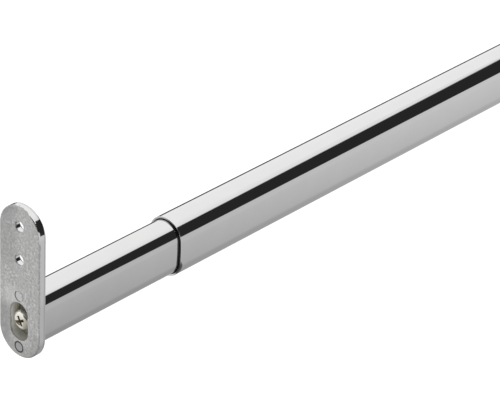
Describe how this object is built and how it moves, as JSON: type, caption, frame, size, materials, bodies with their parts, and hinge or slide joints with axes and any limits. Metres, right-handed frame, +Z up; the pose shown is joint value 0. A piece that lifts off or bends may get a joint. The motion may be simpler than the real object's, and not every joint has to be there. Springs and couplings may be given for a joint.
{
  "type": "telescopic closet rod",
  "caption": "Oval chromed wardrobe rail of two tubes that slide in each other, with a die-cast wall bracket at each end.",
  "frame": {"origin": "on the tubes' axis, in the plane of the near bracket's wall face", "axes": "+X along the rod from the near bracket to the far one, +Z up, towards the brackets' screw holes, +Y across the rod"},
  "size_m": [0.5364, 0.0246, 0.075],
  "materials": {
    "tube_chrome": "polished chrome plate on steel tube",
    "plated_zinc": "chrome plate on die-cast zinc, bright on the rim and dull on the wall face",
    "screw_steel": "zinc plated, slightly yellow",
    "nylon": "moulded, matt"
  },
  "bodies": {
    "inner": {"inner_tube": "tube_chrome", "inner_end_bracket": "plated_zinc", "inner_end_screw": "screw_steel", "inner_end_plug": "nylon", "inner_end_nut": "screw_steel", "tube_glide": "nylon"},
    "outer": {"outer_tube": "tube_chrome", "outer_end_bracket": "plated_zinc", "outer_end_screw": "screw_steel", "outer_end_plug": "nylon", "outer_end_nut": "screw_steel"}
  },
  "joints": [
    {"name": "rod_slide", "type": "slide", "parent": "inner", "child": "outer", "axis": [1, 0, 0], "range_m": [-0.0877, 0.2256]}
  ]
}
